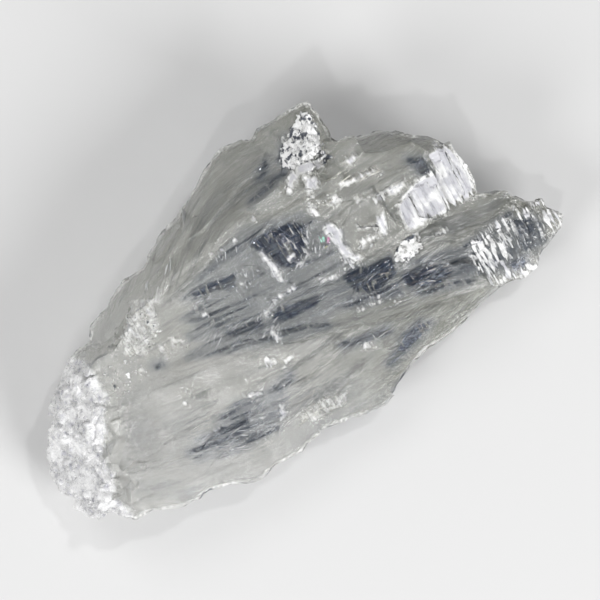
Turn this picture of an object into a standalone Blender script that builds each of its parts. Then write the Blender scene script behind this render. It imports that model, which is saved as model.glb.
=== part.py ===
"""Petalite crystal: a cleaved hand specimen, 60 mm long, lying on a flat cleavage face.

The crystal is one piece. It is built from overlapping cleavage sheets, which step down
from a crest at the back (+Y) to a thin slab at the front (-Y). Each sheet is an upright
prism on its outline, cut by the planes of its flat faces. The sheets are joined, the
underside is cut to a flat rest face, and the breakage is added: ledges and ribs on the
faces, crumbs on the broken end, and shell-shaped chips along the rim.

Frame: +X along the crystal towards its thin lobe, +Y towards the crest, +Z up, with the
origin at the middle of the bounding box, on the rest face. Figures below are millimetres.
"""

import math
import random

import bmesh
import bpy
from mathutils import Matrix, Vector

MM = 0.001  # metres in a millimetre: the figures below are millimetres
LENGTH = 60.0  # along X
TALLEST = 30.0  # a prism's height before its top is cut, above every face
SUNK = 0.6  # how deep an added ledge, rib or crumb is rooted in its face
REACH = 90.0  # half the side of the block that a plane cuts away
DUST = 0.005  # edges shorter than this are closed up

# --- The outline seen from above, clockwise from the broken end at -X ----------------

BROKEN_END = [
    (-26.0, -9.6), (-27.2, -10.0), (-28.6, -9.0), (-29.3, -7.6), (-29.0, -6.6),
    (-29.8, -5.0), (-29.2, -2.4), (-28.1, 0.0), (-26.2, 2.0), (-24.0, 3.8),
]
BACK_EDGE = [
    (-22.3, 5.1), (-20.2, 6.4), (-18.7, 6.3), (-17.6, 7.7), (-15.0, 8.5), (-12.1, 9.8),
    (-9.8, 9.7), (-8.0, 10.9), (-6.2, 12.0), (-4.6, 12.1), (-2.2, 13.3), (0.0, 14.4),
    (1.4, 15.2), (3.6, 15.7), (5.8, 15.4), (6.6, 14.9),
]
PEAK_EDGE = [(7.6, 15.5), (10.0, 15.3), (12.2, 15.1), (13.2, 14.7), (13.6, 13.5), (13.7, 10.1)]
SHOULDER_EDGE = [
    (16.0, 9.5), (18.0, 8.9), (19.6, 7.9), (21.9, 5.6), (23.3, 3.4), (23.8, 1.2),
    (23.7, -0.6), (23.3, -2.0),
]
LOBE_EDGE = [
    (25.2, -2.7), (26.8, -3.8), (27.8, -5.2), (28.9, -5.6), (29.0, -7.0), (30.0, -8.5),
    (29.0, -9.7), (27.5, -10.3), (25.8, -11.0), (25.0, -11.6), (23.6, -12.1), (22.0, -11.7),
    (20.4, -11.5),
]
FRONT_EDGE = [
    (18.0, -11.8), (15.8, -12.5), (13.4, -12.9), (11.0, -12.9), (8.8, -13.3), (6.2, -14.5),
    (5.2, -15.3), (4.0, -15.7), (1.8, -15.4), (0.0, -14.8), (-2.6, -14.3), (-4.4, -14.6),
    (-6.0, -15.1), (-9.0, -14.8), (-10.8, -15.3), (-12.2, -15.1), (-14.0, -14.1),
    (-16.4, -13.3), (-17.6, -13.6), (-19.4, -13.3), (-22.0, -12.0), (-24.0, -11.8),
    (-25.4, -10.3),
]

# --- The step edges between the sheets, from -X to +X ----------------------------------

SLAB_STEP = [  # the middle sheet's front edge, above the front slab
    (-28.5, -1.6), (-14.0, -1.6), (-9.5, -2.2), (-5.0, -3.2), (0.0, -4.6), (3.0, -5.9),
    (6.0, -7.2), (9.0, -8.3), (12.0, -9.2), (15.5, -9.9), (18.6, -10.2),
]
CREST_STEP = [  # the crest's front edge, above the middle sheet
    (-24.0, 0.8), (-18.0, 0.2), (-12.0, -0.6), (-5.0, -1.2), (0.0, -1.0), (4.0, -0.6),
    (9.0, -1.4),
]

# --- Flat faces, each given by three points on it ---------------------------------------

FACES = {
    "broken end": ((-24.6, -9.5, 10.2), (-19.6, 4.0, 16.0), (-29.8, -5.0, 4.6)),
    "slab top": ((0.0, 0.0, 13.0), (10.0, 0.0, 12.2), (0.0, -10.0, 8.0)),
    "middle top": ((0.0, 0.0, 12.6), (10.0, 0.0, 11.7), (0.0, -10.0, 10.6)),
    "crest top": ((0.0, 5.0, 15.8), (-10.0, 7.0, 16.2), (8.0, 9.0, 16.3)),
    "crest front": ((-19.0, 4.4, 15.4), (8.0, 6.2, 15.8), (-5.0, -1.2, 12.7)),
    "back flank": ((-24.0, 3.8, 8.6), (-4.6, 12.1, 10.4), (-14.0, 5.2, 15.0)),
    "peak flank": ((-4.0, 8.0, 16.0), (6.0, 9.0, 16.4), (3.6, 15.7, 11.0)),
    "peak left": ((7.0, 10.0, 15.4), (12.6, 13.5, 17.6), (7.6, 15.5, 12.4)),
    "peak right": ((11.4, 12.0, 17.8), (10.4, 8.0, 16.8), (13.7, 12.0, 15.0)),
    "shoulder top": ((15.0, 4.0, 15.2), (22.0, 4.5, 14.9), (15.0, 8.0, 15.6)),
    "shoulder slope": ((8.0, -1.8, 12.0), (15.0, -2.1, 11.6), (12.0, 5.5, 15.4)),
    "shoulder rim": ((16.0, 7.0, 15.4), (21.5, 3.8, 15.0), (20.8, 6.8, 11.0)),
    "left silver face": ((14.6, -2.0, 10.9), (20.0, -2.0, 10.5), (17.0, 2.3, 15.1)),
    "right silver face": ((19.0, -2.0, 10.4), (23.6, -2.0, 10.2), (22.0, 4.5, 14.9)),
    "lobe top": ((16.0, -2.0, 10.6), (24.0, -2.6, 9.6), (22.0, -6.0, 9.1)),
    "lobe tip": ((25.5, -5.0, 9.1), (27.0, -8.0, 7.2), (30.0, -7.5, 6.4)),
    "lobe front": ((19.0, -10.2, 5.9), (26.0, -10.2, 5.5), (22.0, -6.0, 9.1)),
}
UNDERSIDE = {
    "under the front": ((-20.0, -12.5, 5.4), (4.0, -15.7, 2.8), (0.0, -10.0, 0.0)),
    "under the right": ((8.0, -13.4, 2.8), (20.0, -11.5, 2.6), (12.0, -9.0, 0.0)),
    "under the lobe": ((30.0, -8.5, 5.2), (24.0, -12.1, 3.6), (18.0, -4.0, 0.0)),
    "under the shoulder": ((19.6, 7.9, 8.0), (23.8, 0.0, 6.4), (15.5, 2.0, 0.0)),
    "under the peak": ((3.0, 15.6, 8.0), (13.7, 12.0, 8.2), (8.0, 6.5, 0.0)),
    "under the back": ((-24.0, 3.8, 5.6), (0.0, 14.4, 7.0), (-8.0, 5.0, 0.0)),
    "under the end": ((-29.8, -5.0, 3.4), (-25.5, -10.0, 3.4), (-22.0, -5.0, 0.0)),
}
ALL_FACES = {**FACES, **UNDERSIDE}

# --- Ledges, like shingles: x from, x to, y from, y to, how many, heading in degrees, at each end

LEDGES = {
    "slab top": (-22.0, 13.0, -13.6, -3.0, 13, -13, -3),
    "middle top": (-18.0, 17.0, -9.0, -0.6, 13, -20, -9),
    "crest front": (-18.0, 8.0, -0.6, 5.6, 14, -8, 7),
    "crest top": (-11.0, 7.0, 5.6, 9.6, 4, 8, 18),
    "back flank": (-20.0, -4.0, 5.0, 11.0, 4, 20, 32),
    "peak flank": (-3.0, 6.0, 9.0, 14.0, 4, 10, 26),
    "shoulder top": (14.0, 20.0, 3.2, 8.6, 6, -16, -2),
    "shoulder slope": (9.6, 14.6, -1.0, 5.2, 5, -14, -2),
    "lobe top": (18.4, 26.0, -5.6, -2.6, 4, -18, -4),
    "under the front": (-20.0, 8.0, -14.6, -7.0, 6, -12, 4),
    "under the back": (-20.0, 2.0, 3.0, 12.0, 6, 16, 34),
}
LEDGE_LENGTH = (5.0, 13.0)
LEDGE_WIDTH = (1.4, 2.8)
LEDGE_LIFT = (0.2, 0.5)  # how high a ledge's front edge stands; its back edge is buried

# --- Ribs down a broken face: x from, x to, y at the foot, y at the head, how many, height

RIBS = {
    "left silver face": (14.9, 19.9, -1.9, 2.1, 7, 0.5),
    "right silver face": (20.2, 23.3, -1.8, 3.8, 4, 0.45),
    "lobe front": (19.6, 27.6, -9.9, -6.2, 11, 0.55),
}

# --- Crumbs: angular lumps on broken ground: x from, x to, y from, y to, count, smallest, largest

CRUMBS = {
    "broken end": (-29.0, -21.2, -9.8, 4.2, 70, 0.8, 1.7),
    "peak left": (8.6, 12.2, 8.4, 13.4, 20, 0.6, 1.1),
    "middle top": (13.4, 18.0, -4.0, -2.2, 9, 0.5, 1.0),
    "crest front": (-18.6, -11.0, 3.2, 5.4, 12, 0.5, 1.0),
    "lobe tip": (26.2, 29.4, -9.4, -5.8, 10, 0.7, 1.3),
}
END_LUMPS = [  # the mounds of the broken end: x, y, radius
    (-26.9, -7.9, 2.0), (-27.2, -3.9, 2.1), (-26.0, -0.3, 2.0), (-24.6, -5.6, 2.4),
    (-23.6, -1.6, 2.3), (-23.4, 2.2, 1.7), (-24.6, -8.6, 1.9), (-21.6, 1.6, 1.6),
]

CHIP_GAP = 1.6  # how far apart the chips along the rim are
CHIP_RADIUS = (1.6, 3.6)
CHIP_DEPTH = (0.15, 0.5)


def plane_of(points):
    """(a point, the normal that points up) of the plane through three points."""
    first, second, third = (Vector(p) for p in points)
    normal = (second - first).cross(third - first).normalized()
    return first, normal if normal.z > 0 else -normal


def on_plane(points, x, y):
    """The point of a plane at x, y."""
    point, normal = plane_of(points)
    rise = (normal.x * (x - point.x) + normal.y * (y - point.y)) / normal.z
    return Vector((x, y, point.z - rise))


def object_from(name, shape):
    """A new object from a bmesh, which is freed."""
    bmesh.ops.recalc_face_normals(shape, faces=shape.faces)
    mesh = bpy.data.meshes.new(name)
    shape.to_mesh(mesh)
    shape.free()
    made = bpy.data.objects.new(name, mesh)
    bpy.context.scene.collection.objects.link(made)
    return made


def hull(name, points):
    """The convex solid around points."""
    shape = bmesh.new()
    for point in points:
        shape.verts.new(point)
    found = bmesh.ops.convex_hull(shape, input=shape.verts)
    spare = found["geom_interior"] + found["geom_unused"]
    spare = {element for element in spare if isinstance(element, bmesh.types.BMVert)}
    bmesh.ops.delete(shape, geom=list(spare), context="VERTS")
    return object_from(name, shape)


def prism(name, outline, low, high, place=None):
    """An outline (x, y) drawn at height low and extruded to high, then moved by a matrix."""
    shape = bmesh.new()
    base = shape.faces.new([shape.verts.new((x, y, low)) for x, y in outline])
    side = bmesh.ops.extrude_face_region(shape, geom=[base])
    top = [e for e in side["geom"] if isinstance(e, bmesh.types.BMVert)]
    bmesh.ops.translate(shape, verts=top, vec=(0, 0, high - low))
    if place is not None:
        bmesh.ops.transform(shape, matrix=place, verts=shape.verts)
    return object_from(name, shape)


def measure(mesh):
    """(True if it is closed and touches itself nowhere, the volume) of a mesh, once cleaned."""
    shape = bmesh.new()
    shape.from_mesh(mesh)
    bmesh.ops.remove_doubles(shape, verts=shape.verts, dist=DUST)
    bmesh.ops.dissolve_degenerate(shape, dist=DUST, edges=shape.edges)
    closed = all(len(edge.link_faces) == 2 for edge in shape.edges)
    closed = closed and all(vertex.is_manifold for vertex in shape.verts)
    volume = shape.calc_volume()
    shape.to_mesh(mesh)
    shape.free()
    return closed, volume


def boolean(body, other, operation):
    """The mesh of the body with another object joined to it or cut from it."""
    modifier = body.modifiers.new("boolean", "BOOLEAN")
    modifier.operation = operation
    modifier.solver = "EXACT"
    modifier.object = other
    graph = bpy.context.evaluated_depsgraph_get()
    made = bpy.data.meshes.new_from_object(body.evaluated_get(graph))
    body.modifiers.clear()
    return made


def combine(body, others, operation):
    """Joins others to the body, or cuts them from it, one at a time, and removes them.

    A result that is not closed, or that has lost more than the other object's volume, comes
    from faces that nearly touch: the other object is nudged and tried again, or left out.
    """
    for other in others:
        before, own = measure(body.data)[1], measure(other.data)[1]
        for nudge in (0.0, 0.03, -0.05, 0.09):
            other.location += Vector((nudge, 0.7 * nudge, -0.4 * nudge))
            made = boolean(body, other, operation)
            closed, volume = measure(made)
            lost = before - volume if operation == "DIFFERENCE" else volume - before
            if closed and volume > 0.0 and -0.01 <= lost <= own + 0.01:
                body.data = made
                break
        bpy.data.objects.remove(other)


def drop_loose(mesh):
    """Removes every shell of a mesh but the largest: crumbs that touch nothing."""
    shape = bmesh.new()
    shape.from_mesh(mesh)
    left, shells = set(shape.verts), []
    while left:
        shell, edge_of = set(), [left.pop()]
        while edge_of:
            vertex = edge_of.pop()
            shell.add(vertex)
            near = {edge.other_vert(vertex) for edge in vertex.link_edges} & left
            left -= near
            edge_of += near
        shells.append(shell)
    largest = max(shells, key=len)
    loose = [vertex for shell in shells if shell is not largest for vertex in shell]
    bmesh.ops.delete(shape, geom=loose, context="VERTS")
    shape.to_mesh(mesh)
    shape.free()


def beyond(points, below=False):
    """The block of space above a plane, or below it."""
    point, normal = plane_of(points)
    if below:
        normal = -normal
    turn = normal.to_track_quat("Z", "Y").to_matrix().to_4x4()
    shape = bmesh.new()
    bmesh.ops.create_cube(shape, size=2 * REACH)
    bmesh.ops.transform(
        shape, matrix=Matrix.Translation(point + normal * REACH) @ turn, verts=shape.verts
    )
    return object_from("cut", shape)


def sheet(name, outline, faces):
    """One cleavage sheet: a prism on its outline, cut by its flat faces."""
    made = prism(name, outline, 0.0, TALLEST)
    for face in faces:
        combine(made, [beyond(FACES[face])], "DIFFERENCE")
    return made


def jagged(line, tooth, depth, dice):
    """A line with small broken teeth between its points."""
    made = [line[0]]
    for (x0, y0), (x1, y1) in zip(line, line[1:]):
        run = math.hypot(x1 - x0, y1 - y0)
        across = ((y0 - y1) / run, (x1 - x0) / run)
        count = max(1, round(run / tooth))
        for i in range(1, count):
            along = (i + dice.uniform(-0.3, 0.3)) / count
            out = dice.uniform(-depth, depth)
            made.append((x0 + (x1 - x0) * along + across[0] * out,
                         y0 + (y1 - y0) * along + across[1] * out))
        made.append((x1, y1))
    return made


def sheets(dice):
    """The overlapping sheets, front and lowest first."""
    slab_step = jagged(SLAB_STEP, 1.5, 0.3, dice)
    crest_step = jagged(CREST_STEP, 1.8, 0.3, dice)
    slope_foot = jagged([(8.6, -1.4), (15.2, -2.2)], 1.3, 0.25, dice)
    silver_foot = jagged([(14.6, -2.1), (20.2, -2.0)], 1.1, 0.2, dice)
    slab = BROKEN_END[:7] + [(-28.4, -0.7), (-10.0, -0.9), (0.0, -1.6), (26.0, -4.2)]
    slab += LOBE_EDGE[5:] + FRONT_EDGE
    middle = slab_step + [(18.0, -8.0), (16.6, -5.4), (15.2, -3.0), (17.0, 1.0), (-22.0, 3.0)]
    middle += [(-27.0, 0.8)]
    lobe = [(12.0, -9.0), (12.0, 0.0), (22.6, 1.0), (23.3, -2.0)] + LOBE_EDGE[:9] + [(19.0, -10.6)]
    crest = BROKEN_END[8:] + BACK_EDGE + [(9.0, 12.0), (12.6, 9.6), (12.0, 3.0)] + crest_step[::-1]
    peak = [BACK_EDGE[-1]] + PEAK_EDGE + [(12.6, 7.6), (9.6, 6.6), (7.4, 8.4), (5.6, 12.0)]
    slope = [(8.2, 8.0), (11.0, 11.0), PEAK_EDGE[-1], (15.4, 9.7)] + slope_foot[::-1]
    shoulder = [(14.4, 9.9)] + SHOULDER_EDGE[:3] + [(20.2, 5.0)] + silver_foot[::-1]
    right_silver = SHOULDER_EDGE[2:] + [(18.0, -1.9), (17.0, 1.0), (17.0, 6.0)]
    return [
        sheet("slab", slab, ["slab top", "broken end"]),
        sheet("middle", middle, ["middle top", "broken end"]),
        sheet("lobe", lobe, ["lobe top", "lobe front", "lobe tip"]),
        sheet("crest", crest, ["crest top", "crest front", "back flank", "peak flank", "broken end"]),
        sheet("peak", peak, ["peak left", "peak right"]),
        sheet("slope", slope, ["shoulder slope", "shoulder top"]),
        sheet("shoulder", shoulder, ["shoulder top", "shoulder rim", "left silver face"]),
        sheet("right_silver", right_silver, ["shoulder top", "shoulder rim", "right silver face"]),
    ]


def bare(body, face, x, y):
    """True if the plane of a face is the body's surface at x, y."""
    spot = on_plane(ALL_FACES[face], x, y)
    way = -1 if face in UNDERSIDE else 1
    hit = body.ray_cast(Vector((x, y, way * TALLEST)), (0, 0, -way))
    return hit[0] and abs(hit[1].z - spot.z) < 0.05


def ledge(face, x, y, heading, dice):
    """A flake with a broken front edge that stands proud and a back edge that is buried."""
    length, width = dice.uniform(*LEDGE_LENGTH), dice.uniform(*LEDGE_WIDTH)
    lift = dice.uniform(*LEDGE_LIFT)
    bow = dice.uniform(-0.3, 0.3) * width
    front = jagged([(-length / 2, 0.0), (-length * 0.22, bow - width * 0.45),
                    (length * 0.25, bow - width * 0.5), (length / 2, 0.0)], 1.4, 0.17, dice)
    back = [(length * 0.3, width / 2), (-length * 0.3, width / 2)]
    normal = plane_of(ALL_FACES[face])[1]
    if face in UNDERSIDE:
        normal = -normal
    along = Matrix.Rotation(math.radians(heading), 3, "Z") @ Vector((1, 0, 0))
    along = (along - normal * along.dot(normal)).normalized()
    across = normal.cross(along)
    place = Matrix((along, across, normal)).transposed().to_4x4()
    tip = Matrix.Rotation(-math.atan(1.3 * lift / width), 4, "X")
    roll = Matrix.Rotation(math.radians(dice.uniform(-1.5, 1.5)), 4, "Y")
    place = Matrix.Translation(on_plane(ALL_FACES[face], x, y)) @ place @ roll @ tip
    return prism("ledge", front + back, -1.2, lift * 0.35, place)


def ledges(body, dice):
    """The ledges of every face, where that face is bare."""
    made = []
    for face, (x0, x1, y0, y1, count, heading, last) in LEDGES.items():
        spots = []
        for _ in range(count * 14):
            if len(spots) == count:
                break
            x, y = dice.uniform(x0, x1), dice.uniform(y0, y1)
            turn = dice.uniform(heading, last)
            ends = [(x + k * math.cos(math.radians(turn)), y + k * math.sin(math.radians(turn)))
                    for k in (-2.2, 0.0, 2.2)]
            apart = all(math.hypot((x - a) * 0.35, y - b) > 1.1 for a, b in spots)
            if apart and all(bare(body, face, *end) for end in ends):
                spots.append((x, y))
                made.append(ledge(face, x, y, turn, dice))
    return made


def ribs(dice):
    """Ridges that run down a broken face, like the columns of torn fibres."""
    made = []
    for face, (x0, x1, foot, head, count, height) in RIBS.items():
        normal = plane_of(FACES[face])[1]
        pitch = (x1 - x0) / count
        for i in range(count):
            x = x0 + pitch * (i + 0.5)
            half = pitch * dice.uniform(0.42, 0.62)
            lean = pitch * dice.uniform(-0.5, 0.3)
            low = foot + (head - foot) * dice.uniform(-0.04, 0.12)
            top = head - (head - foot) * dice.uniform(0.0, 0.25)
            points = []
            for y, shift in ((low, lean), (top, 0.0)):
                for dx in (-half, half):
                    on = on_plane(FACES[face], x + dx + shift, y)
                    points += [on - normal * SUNK, on + normal * 0.05]
                crown = on_plane(FACES[face], x + shift + half * dice.uniform(-0.4, 0.4), y)
                points.append(crown + normal * height * dice.uniform(0.6, 1.0))
            made.append(hull("rib", points))
    return made


def crumb(centre, radius, dice, corners=12):
    """One angular lump: the hull of points strewn over a ball."""
    points = []
    for _ in range(corners):
        direction = Vector([dice.gauss(0, 1) for _ in range(3)]).normalized()
        points.append(centre + direction * radius * dice.uniform(0.8, 1.1))
    return hull("crumb", points)


def strewn(body, face, field, dice):
    """Crumbs over one face, spread so that few of them stand on the same spot."""
    x0, x1, y0, y1, count, smallest, largest = field
    normal = plane_of(face)[1]
    spots = []
    for _ in range(count):
        tries = [(dice.uniform(x0, x1), dice.uniform(y0, y1)) for _ in range(8)]
        spots.append(max(tries, key=lambda t: min([math.dist(t, s) for s in spots] or [0.0])))
    made = []
    for x, y in spots:
        radius = dice.uniform(smallest, largest)
        hit = body.ray_cast(Vector((x, y, TALLEST)), (0, 0, -1))
        if hit[0]:
            centre = hit[1] - normal * radius * dice.uniform(0.35, 0.7)
            made.append(crumb(centre, radius, dice))
    return made


def inside(outline, x, y):
    """True if x, y lies in the outline."""
    within = False
    for (x0, y0), (x1, y1) in zip(outline, outline[1:] + outline[:1]):
        if (y0 > y) != (y1 > y) and x < x0 + (x1 - x0) * (y - y0) / (y1 - y0):
            within = not within
    return within


def contained(outline, lumps, floor=0.2):
    """The lumps that lie inside the outline and above the floor; the others are removed."""
    kept = []
    for lump in lumps:
        if all(inside(outline, v.co.x, v.co.y) and v.co.z > floor for v in lump.data.vertices):
            kept.append(lump)
        else:
            bpy.data.objects.remove(lump)
    return kept


def mounds(dice):
    """The large lumps of the broken end."""
    end = FACES["broken end"]
    return [crumb(on_plane(end, x, y) - plane_of(end)[1] * radius * 0.6, radius, dice, 22)
            for x, y, radius in END_LUMPS]


def rim_bite(body, spot, out, dice):
    """(the place, the way out) of a bite into the rim at a spot: its top, side or foot."""
    start = spot - out * 0.4
    top = body.ray_cast(start + Vector((0, 0, TALLEST)), (0, 0, -1))
    foot = body.ray_cast(start - Vector((0, 0, TALLEST)), (0, 0, 1))
    if not (top[0] and foot[0]):
        return None
    place = dice.choice(("top", "top", "side", "foot"))
    lift = {"top": dice.uniform(0.5, 1.4), "side": dice.uniform(-0.4, 0.4),
            "foot": -dice.uniform(0.5, 1.4)}[place]
    share = {"top": 1.0, "side": dice.uniform(0.3, 0.7), "foot": 0.0}[place]
    away = (out + Vector((0, 0, lift))).normalized()
    return foot[1].lerp(top[1], share) + out * 0.4, away


def chip(place, away, radius, depth, dice):
    """A ball, for a shell-shaped chip, or a turned cube, for a shallow one along the cleavage."""
    shape = bmesh.new()
    if dice.random() < 0.6:
        middle = place + away * (radius - depth)
        bmesh.ops.create_icosphere(shape, subdivisions=2, radius=radius)
    else:
        middle = place + away * (0.5 * radius - 0.5 * depth)
        bmesh.ops.create_cube(shape, size=radius)
    yaw = Matrix.Rotation(dice.uniform(-0.25, 0.25), 4, "X")
    spin = Matrix.Rotation(dice.uniform(0.0, math.pi), 4, "Z")
    turn = Matrix.Translation(middle) @ away.to_track_quat("Z", "Y").to_matrix().to_4x4()
    bmesh.ops.transform(shape, matrix=turn @ yaw @ spin, verts=shape.verts)
    return object_from("chip", shape)


def chips(outline, body, dice):
    """The blocks that bite chips out of the rim."""
    made = []
    at = 0.0
    for (x0, y0), (x1, y1) in zip(outline, outline[1:] + outline[:1]):
        run = math.hypot(x1 - x0, y1 - y0)
        out = Vector(((y0 - y1) / run, (x1 - x0) / run, 0.0))  # clockwise, so this points out
        while at < run:
            spot = Vector((x0 + (x1 - x0) * at / run, y0 + (y1 - y0) * at / run, 0.0))
            bite = rim_bite(body, spot, out, dice)
            at += CHIP_GAP * dice.uniform(0.7, 1.4)
            sheer = spot.x > 18.0 and -2.5 < spot.y < 7.0  # the silver faces keep their edges
            if bite and not sheer:
                radius, depth = dice.uniform(*CHIP_RADIUS), dice.uniform(*CHIP_DEPTH)
                made.append(chip(*bite, radius, depth, dice))
        at -= run
    return made


def crystal_finish():
    """Colourless, glassy, a little milky."""
    finish = bpy.data.materials.new("petalite")
    finish.use_nodes = True
    shader = finish.node_tree.nodes["Principled BSDF"]
    shader.inputs["Base Color"].default_value = (0.80, 0.82, 0.80, 1.0)
    shader.inputs["Roughness"].default_value = 0.12
    shader.inputs["Metallic"].default_value = 0.0
    shader.inputs["Transmission Weight"].default_value = 0.6
    shader.inputs["IOR"].default_value = 1.51
    return finish


def main():
    for old in list(bpy.data.objects):
        bpy.data.objects.remove(old)
    dice = random.Random(7)
    outline = BROKEN_END + BACK_EDGE + PEAK_EDGE + SHOULDER_EDGE + LOBE_EDGE + FRONT_EDGE
    parts = sheets(dice)
    crystal = parts[0]
    crystal.name = "petalite_crystal"
    combine(crystal, parts[1:], "UNION")
    combine(crystal, [beyond(face, below=True) for face in UNDERSIDE.values()], "DIFFERENCE")
    combine(crystal, contained(outline, ledges(crystal, dice)), "UNION")
    combine(crystal, ribs(dice) + contained(outline, mounds(dice)), "UNION")
    for face, field in CRUMBS.items():
        lumps = strewn(crystal, FACES[face], field, dice)
        combine(crystal, contained(outline, lumps), "UNION")
    combine(crystal, chips(outline, crystal, dice), "DIFFERENCE")
    drop_loose(crystal.data)
    corners = [v.co for v in crystal.data.vertices]
    middle = [(min(c[i] for c in corners) + max(c[i] for c in corners)) / 2 for i in (0, 1)]
    length = max(c.x for c in corners) - min(c.x for c in corners)
    lowest = min(c.z for c in corners)
    crystal.data.transform(
        Matrix.Scale(MM * LENGTH / length, 4) @ Matrix.Translation((-middle[0], -middle[1], -lowest))
    )
    crystal.data.materials.clear()
    crystal.data.materials.append(crystal_finish())
    for polygon in crystal.data.polygons:
        polygon.material_index = 0
        polygon.use_smooth = False


main()
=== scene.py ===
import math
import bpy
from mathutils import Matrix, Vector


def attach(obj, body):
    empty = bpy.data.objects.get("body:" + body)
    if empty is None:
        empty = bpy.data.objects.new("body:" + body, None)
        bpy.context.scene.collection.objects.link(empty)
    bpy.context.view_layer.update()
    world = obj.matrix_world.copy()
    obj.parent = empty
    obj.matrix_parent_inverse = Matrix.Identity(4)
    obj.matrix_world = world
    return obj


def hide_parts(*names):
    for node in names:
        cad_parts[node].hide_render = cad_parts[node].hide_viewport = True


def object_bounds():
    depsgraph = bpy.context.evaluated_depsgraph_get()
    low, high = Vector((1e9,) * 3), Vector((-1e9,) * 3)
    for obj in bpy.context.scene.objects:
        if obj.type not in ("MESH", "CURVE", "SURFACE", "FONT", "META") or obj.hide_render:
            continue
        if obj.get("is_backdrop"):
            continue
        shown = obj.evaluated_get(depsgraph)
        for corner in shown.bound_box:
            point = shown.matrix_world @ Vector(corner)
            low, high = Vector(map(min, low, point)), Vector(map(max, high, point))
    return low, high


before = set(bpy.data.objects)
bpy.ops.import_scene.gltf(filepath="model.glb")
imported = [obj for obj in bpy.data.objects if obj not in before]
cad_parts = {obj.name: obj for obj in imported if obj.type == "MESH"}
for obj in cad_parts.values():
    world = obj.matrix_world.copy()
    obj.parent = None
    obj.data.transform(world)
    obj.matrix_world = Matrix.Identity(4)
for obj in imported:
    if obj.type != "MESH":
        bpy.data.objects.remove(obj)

# Petalite crystal: the looks. The crystal's fine surface is made from the CAD solid: its faces
# are divided until their edges are a third of a millimetre to a millimetre long, then moved by
# the steps, flutes and grains of broken petalite. Small flakes and chips are a second piece.
# Lengths are millimetres in the CAD's frame, unless a comment says otherwise.

from types import SimpleNamespace

import bmesh
import bpy
import numpy as np
from mathutils import Matrix, Vector
from mathutils.bvhtree import BVHTree

MM = 0.001  # metres in a millimetre
CAD_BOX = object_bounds()
DOWN = Vector((0, 0, -1))
SKY = 60.0  # a height above everything

# --- The photograph's view --------------------------------------------------------------------

VIEW_TURN = -32.0  # degrees that the camera is turned about Z: the crystal lies diagonally
VIEW_CENTRE = (2.07, -1.61)  # what the middle of the picture shows
VIEW_WIDTH = 61.96  # how wide the picture is at the height of the crystal's outline
OUTLINE_HEIGHT = 8.0
LENS = 150.0
SENSOR = 36.0

# --- The fine surface -------------------------------------------------------------------------

PLAIN_EDGE = 0.50  # the longest edge of the mesh on plain faces
HIDDEN_EDGE = 0.95  # on the underside
BUSY_EDGE = 0.28  # on the glinting fractures, which are painted white, and on crushed ones
FROST_EDGE = 0.31  # on the frosted end
DIVISIONS = 8  # rounds of dividing
WELD = 0.001  # points of the CAD mesh that are closer than this are one point
FLAT = 0.6  # degrees: faces that bend less are one face before the dividing
CREASE = 22.0  # degrees: an edge that bends more is drawn sharp
RIM = 0.45  # how broad the crystal's rim is, which gets nicks and a painted highlight with wear
HIGH_STEP = 3.0  # a drop that gives a step a rim as well
REST_HEIGHT = 0.05  # up to here the relief leaves the rest face flat
REST_FADE = 0.6  # and over this much more it grows to its full height
STEPS = [(1.9, 0.10, 1.5), (0.8, 0.045, 2.3)]  # (spacing, height, wander) of the cleavage steps
SWELL = (0.45, 0.24)  # waves a millimetre, and height, of the broad unevenness
FLUTES = ((1.25, 0.14, 0.2), 0.42)  # the same for the flutes, with waves along X, Y and Z
GRAINS = (0.62, 0.26, 0.10)  # size, facet height and bulge of the crushed grains
LUMPS = (1.15, 0.16, 0.42, 0.08)  # the same for the frosted end, and how far all of it sinks
CRUMBS = (0.5, 0.16)  # size and bulge of the crumbs on those lumps
NICKS = (1.3, 0.42)  # nicks a millimetre, and their depth, along the edges
ZONE_SLOPE = 2.2  # how fast a zone's depth grows from its outline
TOP = 0.25  # zones follow the outlines where the normal's Z is more, and chance elsewhere

# --- The cleavage lines: a fan in the middle, the flank behind it, the low slab in front ------

FAN = (-38.0, 3.0)  # the lines in the middle fan out from here
FAN_REACH = 42.0  # the distance from there at which a radian is taken as so many millimetres
FLANK = (0.5, -0.5, -1.5, 5.0)  # slope of the lines: middle, swing, where it turns, how gradually
SLAB = (-0.06, 0.15, -5.0, 6.0)
CREST = ((-14.0, 4.2), 0.26)  # a point and the slope of the seam between the fan and the flank
RIDGE = ((-17.0, -0.4), -0.285)  # between the fan and the slab
SEAM = 0.02  # half the width over which the streaks change direction
DRAWN_OUT = (0.06, 1.0, 0.3)  # streaks are long along the lines: scales along, across and up

# --- Zones, seen from above: outlines, each with its strength ---------------------------------

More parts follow.
